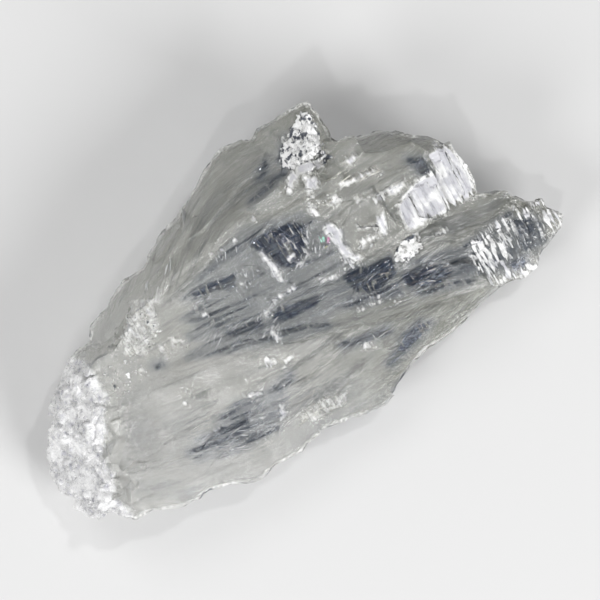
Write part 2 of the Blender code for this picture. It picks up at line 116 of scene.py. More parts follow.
WINDOWS = [  # clear patches, painted dark as the shade seen through them
    ([(0.6, 6.2), (3.5, 6.0), (5.8, 5.4), (6.4, 4.2), (5.2, 2.2), (3.2, 1.4), (1.9, 2.6)], 1.0),
    ([(-7.2, 4.5), (-4.9, 4.7), (-2.0, 4.2), (-2.1, 3.6), (-4.2, 3.7), (-6.4, 4.0)], 1.0),
    ([(-3.9, 3.5), (-2.6, 3.3), (-2.6, 2.9), (-3.7, 2.9)], 0.8),
    ([(-1.8, 6.6), (-0.2, 6.3), (-0.2, 5.1), (-1.6, 5.4)], 0.5),
    ([(-1.4, -1.4), (0.2, -1.2), (2.3, -1.8), (4.0, -2.5), (3.2, -3.1), (0.4, -2.8),
      (-1.3, -2.1)], 0.85),
    ([(-1.2, -3.0), (3.2, -5.0), (3.2, -5.5), (-1.0, -3.6)], 0.6),
    ([(6.9, -2.0), (8.2, -1.7), (10.0, -2.4), (12.2, -2.8), (12.0, -4.6), (9.3, -5.0),
      (7.4, -4.0)], 1.0),
    ([(4.6, -4.0), (7.1, -4.4), (9.3, -5.0), (11.4, -5.5), (11.2, -6.6), (8.9, -5.7),
      (6.7, -5.2)], 0.6),
    ([(12.0, -4.9), (14.2, -5.1), (16.2, -6.1), (17.0, -7.5), (15.3, -7.9), (13.4, -7.2),
      (12.0, -6.0)], 0.9),
    ([(12.4, -6.8), (15.2, -7.8), (18.2, -8.9), (17.6, -9.4), (13.0, -8.0)], 0.55),
    ([(22.5, -9.9), (24.2, -10.2), (24.3, -11.1), (22.4, -10.8)], 0.9),
    ([(18.6, 4.8), (20.2, 3.8), (20.2, 2.3), (19.2, 2.5)], 0.8),
    ([(-14.4, -8.4), (-11.5, -8.7), (-9.0, -9.3), (-9.2, -10.0), (-11.5, -9.4)], 0.56),
    ([(-15.9, -8.8), (-12.5, -9.3), (-10.0, -9.8), (-10.4, -10.5), (-12.8, -10.0)], 0.58),
    ([(-11.0, -9.6), (-6.8, -9.9), (-7.0, -11.6), (-10.0, -11.2)], 0.45),
    ([(-11.0, -7.6), (-7.1, -8.6), (-7.0, -9.1), (-10.8, -8.1)], 0.55),
    ([(-10.2, -0.6), (-2.0, -2.6), (-1.8, -3.4), (-7.2, -1.9)], 0.52),
    ([(-8.4, 2.4), (-2.2, 1.4), (-1.8, 0.2), (-6.9, 0.6)], 0.5),
    ([(-6.4, -0.2), (-2.4, -1.0), (-2.4, -1.9), (-5.6, -1.1)], 0.65),
    ([(-7.6, 4.6), (0.8, 7.2), (6.8, 5.4), (9.0, 1.8), (8.0, -1.6), (6.2, -3.6), (1.8, -4.9),
      (-3.0, -3.8), (-10.6, -0.6), (-7.4, -0.5), (-9.4, 1.2), (-6.4, 1.4), (-8.8, 2.9),
      (-5.6, 3.2)], 0.38),
    ([(4.0, -4.0), (11.0, -5.0), (18.0, -9.5), (20.0, -6.5), (13.0, -4.0)], 0.42),
    ([(7.8, -11.3), (9.4, -10.2), (11.4, -10.1), (12.5, -10.9), (10.6, -11.6), (8.2, -12.0)], 0.9),
    ([(6.2, -12.0), (7.8, -11.3), (8.2, -11.8), (6.6, -12.5)], 0.6),
    ([(3.0, -7.5), (8.4, -8.9), (8.4, -9.5), (3.2, -8.1)], 0.6),
    ([(-4.9, -7.7), (-2.8, -7.6), (-2.8, -8.2), (-4.9, -8.4)], 0.55),
    ([(4.8, 11.0), (6.4, 12.2), (6.4, 11.4), (5.2, 10.6)], 0.6),
    ([(3.0, 9.5), (7.6, 10.4), (7.6, 9.8), (3.2, 9.1)], 0.6),
    ([(-14.0, 0.5), (-13.2, 0.4), (-13.1, -0.1), (-13.9, 0.0)], 0.9),
    ([(25.2, -6.4), (26.8, -6.7), (27.6, -8.2), (26.6, -9.7), (24.8, -9.6), (24.4, -8.0)], 0.62),
    ([(7.6, 11.4), (9.4, 13.2), (9.2, 12.0), (8.2, 10.6)], 0.6),
    ([(19.5, -6.0), (25.0, -5.5), (24.6, -8.6), (21.6, -10.0), (19.2, -9.0)], 0.4),
    ([(-15.4, -9.8), (-9.0, -7.2), (-4.0, -8.0), (-5.6, -10.6), (-11.0, -11.6)], 0.36),
]
GLINT_PATCHES = [  # fractures painted white: painted glints
    ([(20.2, 4.3), (22.2, 4.4), (23.3, 3.5), (23.8, 1.0), (23.2, -2.0), (20.6, -1.5),
      (20.5, 1.6)], 1.0),
    ([(15.3, 1.4), (17.9, 2.5), (21.8, 2.2), (21.6, -1.7), (18.5, -2.0), (15.1, -1.7),
      (14.9, -0.4)], 1.0),
    ([(19.9, -6.0), (24.7, -5.6), (24.4, -7.8), (20.2, -8.7), (19.2, -9.5)], 0.72),
    ([(19.4, -7.1), (22.8, -8.2), (22.2, -10.9), (20.6, -11.2), (19.2, -9.3)], 0.42),
    ([(-12.5, 7.5), (-10.3, 6.3), (-11.5, 3.8), (-13.9, 1.9), (-15.9, 3.2), (-14.2, 5.4)], 0.5),
    ([(-13.4, 2.2), (-10.2, 1.9), (-10.0, 0.6), (-13.0, 0.4)], 0.4),
    ([(24.4, -5.6), (28.8, -5.0), (30.2, -8.6), (28.0, -10.2), (24.6, -9.8)], 0.16),
    ([(28.6, -5.0), (29.0, -6.8), (26.7, -7.0), (25.2, -6.5)], 0.68),
    ([(28.8, -7.0), (30.2, -8.6), (28.8, -9.9), (27.5, -9.7), (27.6, -8.4)], 0.5),
    ([(8.6, 10.3), (11.4, 9.5), (11.2, 8.3), (9.4, 8.4), (8.3, 8.9)], 1.0),
    ([(7.5, 9.6), (8.5, 9.9), (8.7, 8.9), (7.0, 7.7), (6.4, 8.1)], 0.9),
    ([(8.9, 8.8), (10.4, 7.9), (9.5, 6.8), (8.1, 6.9)], 0.9),
    ([(-5.5, -9.4), (-4.7, -9.8), (-5.5, -11.3), (-6.3, -11.1)], 0.8),
    ([(22.0, -11.1), (24.2, -11.1), (25.7, -11.0), (24.8, -12.2), (22.6, -12.3)], 0.8),
    ([(15.3, 3.4), (17.4, 3.2), (17.3, 2.4), (15.8, 2.2), (15.0, 2.6)], 1.0),
    ([(13.6, 3.3), (15.1, 3.2), (14.9, 2.5), (13.6, 2.5)], 1.0),
    ([(9.2, 5.3), (10.8, 5.5), (11.2, 4.5), (9.8, 4.6)], 0.85),
    ([(12.2, 4.2), (13.2, 4.0), (13.1, 3.5), (12.2, 3.6)], 0.9),
    ([(11.5, 6.4), (15.7, 5.7), (15.3, 5.1), (11.4, 5.7)], 0.65),
    ([(12.6, 7.9), (14.5, 8.2), (14.7, 7.4), (13.5, 7.1)], 0.75),
    ([(7.6, 2.8), (8.3, 3.6), (9.2, 3.3), (9.4, 2.2), (9.0, 1.0), (9.4, -0.5), (9.9, -1.5),
      (9.0, -1.8), (8.3, -0.6), (8.0, 0.6), (8.0, 1.6), (7.6, 2.0)], 1.0),
    ([(10.9, 1.8), (11.7, 1.4), (12.7, 0.9), (12.6, 0.4), (11.4, 0.9), (10.7, 1.3)], 0.9),
    ([(7.4, 5.9), (8.3, 5.7), (8.5, 4.2), (7.6, 4.5)], 1.0),
    ([(10.1, 0.4), (12.3, 0.1), (12.0, -0.6), (10.3, -0.5)], 0.9),
    ([(12.2, -0.2), (12.9, 1.4), (14.1, 1.7), (13.9, 0.4), (12.8, -0.9)], 0.9),
    ([(0.9, 4.9), (1.6, 4.9), (2.0, 2.8), (1.7, 0.8), (1.2, 0.9), (1.1, 2.9)], 1.0),
    ([(3.1, 3.0), (4.2, 2.9), (4.0, 2.3), (3.1, 2.3)], 1.0),
    ([(3.7, 1.9), (4.8, 1.6), (4.6, 1.0), (3.8, 1.2)], 0.9),
    ([(-2.1, -0.4), (-1.4, -0.5), (-1.3, -1.3), (-2.0, -1.3)], 0.9),
    ([(-2.4, -2.4), (-1.7, -2.4), (-1.5, -3.9), (-2.2, -4.1)], 1.0),
    ([(-4.5, -4.6), (-3.9, -4.6), (-3.3, -5.4), (-3.3, -6.0), (-4.2, -5.9)], 0.9),
    ([(-2.8, -5.7), (-1.3, -5.9), (-1.4, -6.5), (-2.7, -6.4)], 0.7),
    ([(4.5, -9.4), (5.4, -8.6), (6.0, -9.9)], 1.0),
    ([(-0.4, -0.1), (2.5, 0.0), (2.5, -0.5), (-0.4, -0.6)], 0.6),
    ([(4.8, -0.8), (6.7, -1.3), (6.5, -1.8), (4.8, -1.3)], 0.7),
    ([(17.4, -3.0), (18.7, -3.2), (18.5, -3.8), (17.3, -3.6)], 0.9),
    ([(-8.0, -6.7), (-6.1, -7.4), (-6.1, -8.0), (-7.9, -7.3)], 0.65),
    ([(-4.4, -11.6), (-1.8, -11.4), (1.2, -12.4), (0.4, -13.3), (-3.6, -13.0)], 0.46),
]
SMOOTH = [  # the pale ridge, where the streaks stop
    ([(-17.0, 1.2), (-8.0, -2.2), (2.0, -5.6), (9.0, -6.8), (19.6, -10.2), (20.4, -11.6),
      (9.0, -8.4), (-2.0, -6.2), (-17.0, -2.0)], 1.0),
]
CRUSHED = [  # fractures broken into white and dark grains
    ([(12.0, 14.4), (12.8, 13.6), (12.7, 11.6), (12.0, 10.0), (12.4, 8.8), (11.2, 8.6), (11.3, 9.4),
      (8.4, 9.8), (7.2, 10.5), (8.2, 12.0), (10.1, 13.3)], 1.0),
    ([(13.6, -2.0), (15.4, -2.1), (15.8, -3.8), (13.4, -4.3), (12.2, -3.4)], 0.9),
    ([(-13.2, 6.4), (-10.8, 5.5), (-11.4, 3.6), (-14.3, 0.4), (-19.0, -0.4), (-19.4, 1.8),
      (-16.8, 3.4)], 0.2),
]
FROSTED = [  # the broken end
    (-21.5, 6.5), (-19.5, 4.4), (-19.4, 2.4), (-19.2, 0.4), (-20.8, -1.3), (-22.9, -4.4),
    (-23.3, -6.5), (-24.3, -8.7), (-24.2, -12.0), (-34.0, -12.0), (-34.0, 6.5),
]
DOTS = [  # painted sparkles: single bright specks
    (6.6, -5.5), (7.2, -5.7), (8.0, -5.9), (8.8, -6.0), (10.9, -6.4), (10.3, -7.3), (-12.3, 1.7),
    (-15.2, 0.9), (-13.2, -3.0), (-12.2, -3.7), (-13.4, -4.3), (-3.1, 7.0), (-1.9, 6.8),
    (-0.4, 7.0), (2.5, 7.8), (-2.0, 2.9), (-6.9, 2.2), (-5.2, -10.7), (7.9, -0.9), (-7.4, 3.2),
]
DOT_RADIUS = 0.26

# --- Flakes and chips -------------------------------------------------------------------------

WHITE = (0.95, 0.96, 0.97)
CHIP_SHADE = (0.97, 0.97, 0.95)
FLAKES = [  # x, y, width and height of the field, count, heading, (length, depth, thickness), shade
    (4.6, 3.8, 3.2, 2.6, 16, 92, (2.0, 1.6, 0.07), WHITE),
    (3.2, 5.4, 3.6, 0.8, 6, 80, (1.2, 1.2, 0.06), WHITE),
    (1.4, 2.9, 0.5, 0.6, 3, 88, (3.8, 2.0, 0.1), WHITE),
    (6.6, 2.6, 1.6, 3.0, 14, 60, (0.9, 0.8, 0.08), WHITE),
    (5.0, 1.6, 3.0, 1.0, 8, 20, (1.0, 0.8, 0.08), WHITE),
    (-1.8, 6.4, 2.6, 0.8, 6, 70, (0.9, 0.7, 0.07), WHITE),
    (-1.2, 3.0, 4.0, 2.4, 12, 80, (0.8, 0.8, 0.05), WHITE),
    (-4.6, 3.8, 5.0, 0.9, 7, 10, (0.8, 0.6, 0.06), WHITE),
    (-1.8, -3.2, 0.6, 1.2, 5, 75, (1.4, 0.8, 0.1), WHITE),
    (-4.0, -5.3, 0.8, 1.0, 5, 80, (0.9, 0.6, 0.08), WHITE),
    (-1.7, -1.0, 1.0, 1.0, 6, 60, (0.6, 0.6, 0.07), WHITE),
    (9.6, -3.6, 4.4, 1.6, 4, 10, (1.6, 1.0, 0.05), WHITE),
    (14.2, -6.2, 4.0, 2.0, 5, -10, (1.6, 1.0, 0.05), WHITE),
    (-4.0, -1.4, 7.0, 3.0, 14, 22, (1.8, 0.8, 0.04), WHITE),
    (11.0, -0.2, 2.6, 1.0, 8, 10, (0.9, 0.7, 0.1), WHITE),
    (8.6, 0.8, 0.8, 3.6, 12, 96, (1.3, 0.8, 0.14), WHITE),
    (13.2, 0.6, 1.4, 1.8, 8, 60, (0.8, 0.7, 0.1), WHITE),
    (15.4, 2.9, 3.4, 0.5, 8, 4, (1.1, 0.7, 0.12), WHITE),
    (12.6, 6.0, 6.0, 2.4, 12, -4, (1.3, 0.7, 0.06), (0.92, 0.9, 0.8)),
    (7.2, 2.4, 0.5, 0.4, 3, 80, (0.7, 0.5, 0.12), (0.45, 0.95, 0.75)),
    (7.7, 1.9, 0.4, 0.4, 4, 60, (0.6, 0.5, 0.16), (0.98, 0.45, 0.72)),
    (7.2, 1.5, 0.4, 0.3, 2, 20, (0.6, 0.5, 0.1), (0.98, 0.9, 0.5)),
    (-10.5, -10.4, 7.0, 1.8, 10, -14, (2.2, 0.8, 0.04), WHITE),
    (-7.0, -7.3, 2.4, 0.6, 7, -10, (0.7, 0.5, 0.08), WHITE),
    (-2.4, -12.2, 4.0, 1.0, 8, -2, (1.4, 0.7, 0.08), (0.95, 0.94, 0.86)),
    (-4.1, -11.5, 0.3, 0.3, 2, 22, (4.6, 1.0, 0.05), WHITE),
    (-3.6, 11.4, 1.0, 1.0, 2, 69, (3.0, 0.8, 0.04), WHITE),
    (-8.5, 7.0, 4.0, 2.0, 5, 40, (2.2, 0.8, 0.04), WHITE),
    (21.8, -8.2, 4.2, 3.8, 18, 96, (1.8, 0.9, 0.1), WHITE),
]
FLAKE_TURN = 9.0  # degrees: the spread of the headings in a field
FLAKE_LEAN = 28.0  # degrees: how far a flake leans at most
PROUD = 0.04  # how far a flake's top stands above the surface
CHIPS = [  # x, y, width and height of the field, count, size
    (7.7, -5.8, 3.0, 0.5, 8, 0.18),
    (10.6, -6.8, 1.4, 1.4, 3, 0.18),
    (-13.6, 4.2, 4.2, 2.4, 24, 0.17),
    (-17.4, 1.2, 4.0, 2.4, 16, 0.12),
    (-12.9, -3.7, 1.6, 1.6, 4, 0.15),
    (14.4, -3.0, 3.0, 2.0, 24, 0.2),
    (8.6, -0.6, 2.0, 1.4, 8, 0.18),
    (5.2, -9.3, 1.2, 0.9, 5, 0.2),
    (27.0, -8.0, 4.0, 3.0, 16, 0.14),
    (10.3, 11.4, 2.6, 3.6, 44, 0.19),
    (8.6, 6.4, 2.0, 2.4, 18, 0.2),
    (0.0, 7.4, 8.0, 1.0, 6, 0.11),
    (-12.0, -9.0, 20.0, 8.0, 5, 0.09),
    (12.0, 5.0, 9.0, 2.0, 4, 0.14),
]

# --- Colours ----------------------------------------------------------------------------------

OLIVE = (0.36, 0.365, 0.315, 1)  # milky stone, where it is dim
PALE = (0.86, 0.86, 0.83, 1)  # and where it is bright
DIM_BAND = (0.20, 0.215, 0.225, 1)
DIM_STREAK = (0.15, 0.165, 0.18, 1)
FINE_STREAK = (0.97, 0.97, 0.94, 1)
MOTTLE = (0.98, 0.98, 0.92, 1)  # round the fractures
VEILED_WINDOW_SHADE = (0.15, 0.19, 0.28, 1)  # painted shade: a window's darkness through the milky stone over it
INK = (0.016, 0.031, 0.088, 1)  # painted shade: the darkness seen through a clear window
# painted shade: the bluer dark seen through a clear window
INDIGO = (0.045, 0.076, 0.180, 1)
SLATE = (0.13, 0.155, 0.21, 1)  # painted shade, lighter, seen through a weak window
STEEL = (0.42, 0.47, 0.58, 1)  # fine streaks in a window
NEEDLE = (0.88, 0.89, 0.90, 1)
# Painted glints on the fractures: white, painted shade in the flutes, lilac in places.
GLINT_WHITE = (0.91, 0.91, 0.91, 1)
GLINT_FLUTE_SHADE = (0.62, 0.62, 0.66, 1)
GLINT_LILAC = (0.56, 0.56, 0.60, 1)
DARK_GRAIN = (0.07, 0.08, 0.10, 1)
WHITE_GRAIN = (0.97, 0.97, 0.97, 1)
ICE = (0.98, 0.98, 0.99, 1)
# Painted shade in the frost's hollows.
ICE_HOLLOW_SHADE = (0.60, 0.60, 0.67, 1)
SNOW = (0.95, 0.95, 0.95, 1)
# Painted highlight along the rim, partly whitened wear.
WORN_AND_LIT_EDGE = (0.92, 0.92, 0.91, 1)
# Painted shade in the hollows of the chips' bumps.
CHIP_HOLLOW_SHADE = (0.45, 0.46, 0.50, 1)
INSIDE = (0.90, 0.90, 0.84, 1)  # what light turns to on its way through
DENSITY = 25.0
FLOOR_GREY = (0.62, 0.62, 0.62, 1)

# --- Brightness, gloss and clearness ----------------------------------------------------------

TONE = 0.61  # how pale the milky stone is at the origin, from 0 for OLIVE to 1 for PALE
TONE_FALL = (0.020, 0.010)  # how much of that it loses a millimetre along X and Y
SLAB_FALL = (-8, 12, 0.38)  # from this X to this X, the slab loses this much
CLOUDS = 0.9  # how much it varies in clouds
IOR = 1.51
ROUGHNESS = {"milky": 0.14, "clear": 0.03, "broken": 0.12, "frosted": 0.27}
CLEARNESS = {"milky": 0.74, "clear": 0.93, "broken": 0.12, "ice": 0.50, "snow": 0.15, "edge": 0.20}
STREAK_BUMP, FLUTE_BUMP, SPECK_BUMP = 0.18, 0.35, 0.14  # heights of the finest relief
MILLIMETRES = (1000, 1000, 1000)  # turns metres into them
DOWNWARD = (1000, 140, 300)  # the same, drawn out down the broken faces

LAMPS = [  # name, azimuth (0 is -Y), elevation, distance and diameter in metres, watts
    ("key", 20.0, 38.0, 0.60, 0.30, 2.7),
    ("left", -85.0, 40.0, 0.60, 0.25, 1.5),
    ("fill", 190.0, 50.0, 0.60, 0.30, 0.6),
    ("sparkle_left", -40.0, 68.0, 0.70, 0.04, 0.5),
    ("sparkle_right", 110.0, 62.0, 0.70, 0.04, 0.7),
]
ROOM = 0.30  # strength of the white light from all round

LATTICE = 64  # the noises repeat after this many cells
_lattice = np.random.default_rng(11).random((LATTICE, LATTICE, LATTICE))


def noise(points):
    """Smooth noise, 0 to 1, at points given in cells (n, 3)."""
    cell = np.floor(points).astype(int)
    part = points - cell
    part = part * part * (3 - 2 * part)
    total = np.zeros(len(points))
    for corner in np.ndindex(2, 2, 2):
        weight = np.prod(np.where(corner, part, 1 - part), axis=1)
        index = (cell + corner) % LATTICE
        total += weight * _lattice[index[:, 0], index[:, 1], index[:, 2]]
    return total


def cells(points, size):
    """Distances to the two nearest of some scattered seeds, and the nearest one's facet height."""
    spots = points / size
    base = np.floor(spots).astype(int)
    first = np.full(len(points), 9.0)
    second = np.full(len(points), 9.0)
    facet = np.zeros(len(points))
    for step in np.ndindex(3, 3, 3):
        cell = base + np.array(step) - 1
        x, y, z = (cell % LATTICE).T
        picks = np.stack([_lattice[x, y, z], _lattice[z, x, y], _lattice[y, z, x]], axis=1)
        offset = spots - cell - picks
        far = np.linalg.norm(offset, axis=1)
        closer = far < first
        second = np.where(closer, first, np.minimum(second, far))
        height = (offset * (picks[:, [1, 2, 0]] - 0.5)).sum(axis=1) * 1.8 + picks[:, 2] - 0.5
        facet = np.where(closer, height, facet)
        first = np.where(closer, far, first)
    return first, second, np.clip(facet, -1.0, 1.0)


def depth(points, outline):
    """How far inside an outline each point lies, seen from above; negative outside."""
    inside = np.zeros(len(points), dtype=bool)
    nearest = np.full(len(points), 99.0)
    x, y = points[:, 0], points[:, 1]
    for (x0, y0), (x1, y1) in zip(outline, outline[1:] + outline[:1]):
        run = (x1 - x0) ** 2 + (y1 - y0) ** 2
        share = np.clip(((x - x0) * (x1 - x0) + (y - y0) * (y1 - y0)) / run, 0.0, 1.0)
        away = np.hypot(x - x0 - share * (x1 - x0), y - y0 - share * (y1 - y0))
        nearest = np.minimum(nearest, away)
        crosses = (y0 > y) != (y1 > y)
        if y1 != y0:
            inside ^= crosses & (x < x0 + (y - y0) * (x1 - x0) / (y1 - y0))
    return np.where(inside, nearest, -nearest)


def field(points, patches, spread=0.0):
    """The greatest depth in any patch; a weak patch is never deep."""
    best = np.full(len(points), -2.0)
    for outline, strength in patches:
        steep = (depth(points, outline) + spread) * ZONE_SLOPE
        best = np.maximum(best, np.minimum(steep, 2.0 * strength - 0.8))
    return best


def limits(points, up):
    """The longest edge wanted at each point: short where the surface is broken."""
    limit = np.where(up < -0.3, HIDDEN_EDGE, PLAIN_EDGE)
    broken = np.maximum(field(points, GLINT_PATCHES), field(points, CRUSHED)) > -0.3
    limit = np.where(broken & (up > 0), BUSY_EDGE, limit)
    frosted = depth(points, FROSTED) > -0.4
    return np.where(frosted, np.where(up < -0.3, PLAIN_EDGE, FROST_EDGE), limit)


def divided(source):
    """A welded copy of the CAD mesh, its edges divided until they are short enough."""
    shape = bmesh.new()
    shape.from_mesh(source)
    bmesh.ops.remove_doubles(shape, verts=shape.verts, dist=WELD * MM)
    flat = math.radians(FLAT)
    bmesh.ops.dissolve_limit(shape, angle_limit=flat, verts=shape.verts, edges=shape.edges)
    bmesh.ops.triangulate(shape, faces=shape.faces)
    for _ in range(DIVISIONS):
        shape.normal_update()
        edges = [edge for edge in shape.edges if edge.calc_length() > BUSY_EDGE * MM]
        ends = np.array([[*edge.verts[0].co, *edge.verts[1].co] for edge in edges]) / MM
        up = np.array([edge.link_faces[0].normal.z for edge in edges])
        lengths = np.linalg.norm(ends[:, :3] - ends[:, 3:], axis=1)
        long = np.flatnonzero(lengths > limits((ends[:, :3] + ends[:, 3:]) / 2, up))
        bmesh.ops.subdivide_edges(shape, edges=[edges[i] for i in long], cuts=1)
        many = [face for face in shape.faces if len(face.verts) > 3]
        bmesh.ops.triangulate(shape, faces=many, quad_method="SHORT_EDGE")
    return shape


def bends(shape):
    """How sharply the surface bends at each vertex: above 0 on an edge, below 0 in a corner."""
    shape.verts.index_update()
    pairs = np.array([[edge.verts[0].index, edge.verts[1].index] for edge in shape.edges])
    angles = np.array([edge.calc_face_angle_signed(0.0) for edge in shape.edges])
    count = len(shape.verts)
    sharp = np.zeros(count)
    hollow = np.zeros(count)
    for side in (0, 1):
        np.maximum.at(sharp, pairs[:, side], angles)
        np.minimum.at(hollow, pairs[:, side], angles)
    bend = np.clip((sharp - 0.2) / 0.5, 0.0, 1.0) + np.clip((hollow + 0.2) / 0.5, -1.0, 0.0)
    shares = np.bincount(pairs.ravel(), minlength=count)
    around = np.zeros(count)
    for side in (0, 1):
        others = bend[pairs[:, 1 - side]]
        around += np.bincount(pairs[:, side], weights=others, minlength=count)
    return 0.65 * bend + 0.35 * around / shares


def rims(tree, points, up):
    """1 on the crystal's outer rim, less on the rim of a high step, 0 elsewhere."""
    rim = np.zeros(len(points))
    ring = [(math.cos(a) * RIM, math.sin(a) * RIM) for a in np.arange(8) * math.pi / 4]
    for i in np.flatnonzero(up > -0.2):
        x, y, z = points[i]
        for east, north in ring:
            spot = tree.ray_cast(Vector((x + east, y + north, SKY)) * MM, DOWN)[0]
            if spot is None:
                rim[i] += 0.4
            elif spot.z < (z - HIGH_STEP) * MM:
                rim[i] += 0.2
    return np.clip(rim, 0.0, 1.0)


def read(collection, name):
    """A vector per element of a mesh, as an array (n, 3)."""
    values = np.zeros(len(collection) * 3)
    collection.foreach_get(name, values)
    return values.reshape(-1, 3)


def strayed(points):
    """How far the cleavage lines stray sideways."""
    return (noise(points * 0.12) - 0.5) * 1.4


def fanned(points):
    """Places along, across and up in the fan of cleavage lines."""
    angle = np.arctan2(points[:, 1] - FAN[1], points[:, 0] - FAN[0])
    sideways = angle * FAN_REACH + strayed(points)
    return np.stack([points[:, 0], sideways, points[:, 2]], axis=1)


def swung(points, course):
    """As fanned, for lines whose slope swings from one value to another along X."""
    middle, swing, turn, width = course
    rise = middle * points[:, 0] + swing * width * np.log(np.cosh((points[:, 0] - turn) / width))
    sideways = points[:, 1] - rise + strayed(points)
    return np.stack([points[:, 0], sideways, points[:, 2]], axis=1)


def beyond(points, seam):
    """How far each point is beyond a seam, in Y."""
    (x, y), slope = seam
    return points[:, 1] - y - (points[:, 0] - x) * slope


def zones(points, up):
    """Depths in the zones: clear window, painted glint, crushed stone and frost."""
    wander = (noise(points * 0.6) - 0.5) * 0.7
    frost = np.clip(depth(points, FROSTED) + wander, -2.0, 2.0)
    smooth = np.clip(field(points, SMOOTH) + 0.6, 0.0, 1.2)
    hidden = np.clip((TOP - up) * 6.0, 0.0, 4.0)  # the outlines are for the top only
    below = -4 * (up > TOP)  # the sides and the underside have patches by chance
    inner = noise(fanned(points) * (0.10, 0.40, 0.30) + 3.0) * 4.0 - 2.7
    window = np.maximum(field(points, WINDOWS, 0.15) - hidden, np.clip(inner, -2.0, 0.5) + below)
    window -= smooth * 0.8
    bright = noise(points * 0.33 + 8.0) * 5.0 - 4.0
    glint = np.maximum(field(points, GLINT_PATCHES) - hidden, np.clip(bright, -2.0, 0.3) + below)
    # Painted sparkles join the painted glints.
    for x, y in DOTS:
        near = DOT_RADIUS - np.hypot(points[:, 0] - x, points[:, 1] - y)
        glint = np.maximum(glint, np.clip(near * 3, -2.0, 0.6) - hidden)
    return window, glint, field(points, CRUSHED) - hidden, frost


def cleavage(way):
    """The height of the cleavage steps: gentle rises that end in small drops."""
    height = np.zeros(len(way))
    for spacing, rise, wander in STEPS:
        drift = noise(way * (0.09, 0.30, 0.25) + spacing * 7) * wander
        height += rise * ((way[:, 1] / spacing + drift) % 1.0 - 0.5)
    return height


def relief(points, steps, glint, crushed, frost, edges):
    """How far each point moves outward; steps is the height of the cleavage steps there."""
    frosty = np.clip(frost * 1.5 + 0.5, 0.0, 1.0)
    fluted = np.clip(glint * 2.0 + 0.3, 0.0, 1.0) * (1 - frosty)
    broken = np.clip(crushed * 1.5 + 0.3, 0.0, 1.0) * (1 - frosty)
    move = steps * (1 - frosty) * (1 - broken)
    waves, height = SWELL
    move += (noise(points * waves + 4.0) - 0.5) * height
    waves, height = FLUTES
    move += (noise(points * waves) - 0.5) * height * fluted
    size, height, bulge = GRAINS
    first, second, facet = cells(points, size)
    move += (facet * height + (second - first) * bulge) * broken
    size, height, bulge, sunk = LUMPS
    first, second, facet = cells(points, size)
    move += (np.minimum(second - first, 0.5) * bulge + facet * height - sunk) * frosty
    size, bulge = CRUMBS
    first, second, _ = cells(points + 5.0, size)
    move += np.minimum(second - first, 0.5) * bulge * frosty
    waves, deep = NICKS
    nicks = np.clip(noise(points * waves + 7.0) * 2.6 - 0.9, 0.0, 1.0)
    return move - edges * nicks * deep


def crystal_mesh():
    """The fine mesh, with its relief, and its zones as attributes for the material."""
    shape = divided(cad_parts["petalite_crystal"].data)
    bend = bends(shape)
    tree = BVHTree.FromBMesh(shape)
    mesh = bpy.data.meshes.new("crystal")
    shape.to_mesh(mesh)
    shape.free()
    points = read(mesh.vertices, "co") / MM
    normals = read(mesh.vertices, "normal")
    up = normals[:, 2]
    ways = {"fan": fanned(points), "flank": swung(points, FLANK), "slab": swung(points, SLAB)}
    crest, ridge = beyond(points, CREST), beyond(points, RIDGE)
    window, glint, crushed, frost = zones(points, up)
    rim = rims(tree, points, up)

    way = np.where((ridge > 0)[:, None], ways["fan"], ways["slab"])
    way = np.where((crest > 0)[:, None], ways["flank"], way)
    fade = np.clip(np.minimum(np.abs(crest), np.abs(ridge)), 0.0, 1.0)  # no steps at a seam
    edges = np.clip(bend, 0.0, 1.0) * (0.3 + 0.7 * rim)
    edges = np.maximum(edges, rim * np.clip((0.6 - up) * 3, 0.0, 0.9))
    move = relief(points, cleavage(way) * fade, glint, crushed, frost, edges)
    lifted = np.clip((points[:, 2] - REST_HEIGHT) / REST_FADE, 0.0, 1.0)
    moved = points + normals * (move * lifted)[:, None]
    mesh.vertices.foreach_set("co", (moved * MM).ravel())

    rim_highlight = rim * np.clip((up - 0.1) / 0.35, 0.0, 1.0)  # painted highlight on the rim, partly wear: not on the steep walls below it
    depths = {"window": window, "glint": glint, "crushed": crushed, "frost": frost,
              "rim": rim_highlight, "crest": crest, "ridge": ridge}
    for name, values in depths.items():
        mesh.attributes.new(name, "FLOAT", "POINT").data.foreach_set("value", values)
    for name, values in ways.items():
        long = (values * DRAWN_OUT).ravel()
        mesh.attributes.new(name, "FLOAT_VECTOR", "POINT").data.foreach_set("vector", long)
    mesh.polygons.foreach_set("use_smooth", [True] * len(mesh.polygons))
    mesh.set_sharp_from_angle(angle=math.radians(CREASE))
    return mesh


